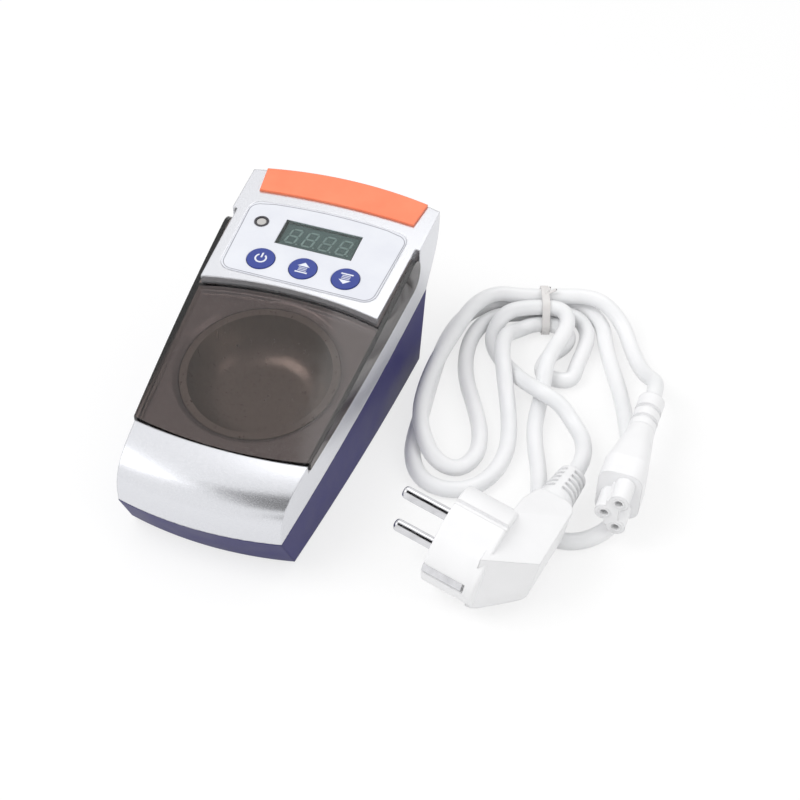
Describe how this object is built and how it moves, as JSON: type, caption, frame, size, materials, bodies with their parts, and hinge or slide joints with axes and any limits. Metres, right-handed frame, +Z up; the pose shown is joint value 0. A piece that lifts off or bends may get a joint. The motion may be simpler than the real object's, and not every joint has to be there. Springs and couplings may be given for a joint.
{
  "type": "dental wax heater",
  "caption": "Wedge-shaped benchtop wax heater with a heated wax pot under a hinged smoked lid, a panel of buttons with a display, and a detached mains lead.",
  "frame": {"origin": "on the bench, under the middle of the housing's length and width", "axes": "+Z up, +Y from the nose to the rear, +X to the right of a person who faces the nose"},
  "size_m": [0.185, 0.188, 0.0652],
  "materials": {
    "silver_housing": "satin silver paint on a moulded shell",
    "blue_base": "satin dark blue moulding",
    "accent_orange": "satin salmon orange",
    "panel_film": "matt printed film",
    "smoked_lid": "clear smoked acrylic",
    "steel_pin": "ground",
    "coated_aluminium": "grey non-stick coating",
    "silicone_seal": "matt silicone",
    "aluminium_plate": "machined",
    "insulation": "pressed ceramic fibre",
    "black_plastic": "moulded",
    "display_window": "tinted window",
    "display_body": "moulded",
    "circuit_board": "solder mask",
    "zinc_screw": "zinc plated",
    "button_blue": "satin royal blue",
    "dark_bezel": "moulded",
    "lamp_lens": "diffusing",
    "relay_case": "moulded",
    "fuse_case": "moulded",
    "capacitor_can": "sleeved",
    "plated_contact": "plated",
    "rocker_black": "satin",
    "foot_rubber": "matt",
    "white_cable": "soft PVC sheath",
    "white_moulding": "satin PVC moulding",
    "nickel_pin": "nickel plated",
    "tie_grey": "paper covered wire"
  },
  "bodies": {
    "housing": {"top_cover": "silver_housing", "base_shell": "blue_base", "accent_bar": "accent_orange", "panel_label": "panel_film", "hinge_pin_left": "steel_pin", "hinge_pin_right": "steel_pin", "wax_pot": "coated_aluminium", "pot_gasket": "silicone_seal", "heater_plate": "aluminium_plate", "insulation_cup": "insulation", "temperature_sensor": "steel_pin", "thermal_cutoff": "black_plastic", "display_window": "display_window", "digit_display": "display_body", "control_board": "circuit_board", "board_screws": "zinc_screw", "tact_switch_left": "black_plastic", "tact_switch_middle": "black_plastic", "tact_switch_right": "black_plastic", "lamp_bezel": "dark_bezel", "indicator_lamp": "lamp_lens", "power_board": "circuit_board", "power_transformer": "black_plastic", "heater_relay": "relay_case", "mains_fuse": "fuse_case", "filter_capacitors": "capacitor_can", "mains_inlet": "black_plastic", "inlet_contacts": "plated_contact", "switch_frame": "black_plastic", "case_screws": "zinc_screw", "rubber_foot_front_left": "foot_rubber", "rubber_foot_front_right": "foot_rubber", "rubber_foot_rear_left": "foot_rubber", "rubber_foot_rear_right": "foot_rubber", "lead_cable": "white_cable", "lead_connector": "white_moulding", "connector_relief": "white_moulding", "mains_plug": "white_moulding", "plug_strain_relief": "white_moulding", "plug_pins": "nickel_pin", "plug_earth_clips": "nickel_pin", "cable_tie": "tie_grey"},
    "lid": {"smoked_lid": "smoked_lid"},
    "button_left": {"button_left": "button_blue"},
    "button_middle": {"button_middle": "button_blue"},
    "button_right": {"button_right": "button_blue"},
    "rocker": {"switch_rocker": "rocker_black"}
  },
  "joints": [
    {"name": "lid_hinge", "type": "hinge", "parent": "housing", "child": "lid", "pos_m": [0, 0.043, 0.053], "axis": [-1, 0, 0], "range_deg": [0, 100]},
    {"name": "press_left", "type": "slide", "parent": "housing", "child": "button_left", "axis": [0, 0.1097, -0.994], "range_m": [0, 0.0006], "stiffness_N_per_m": 600},
    {"name": "press_middle", "type": "slide", "parent": "housing", "child": "button_middle", "axis": [0, 0.1097, -0.994], "range_m": [0, 0.0006], "stiffness_N_per_m": 600},
    {"name": "press_right", "type": "slide", "parent": "housing", "child": "button_right", "axis": [0, 0.1097, -0.994], "range_m": [0, 0.0006], "stiffness_N_per_m": 600},
    {"name": "power_rocker", "type": "hinge", "parent": "housing", "child": "rocker", "pos_m": [-0.017, 0.0538, 0.0182], "axis": [1, 0, 0], "range_deg": [0, 18]}
  ]
}
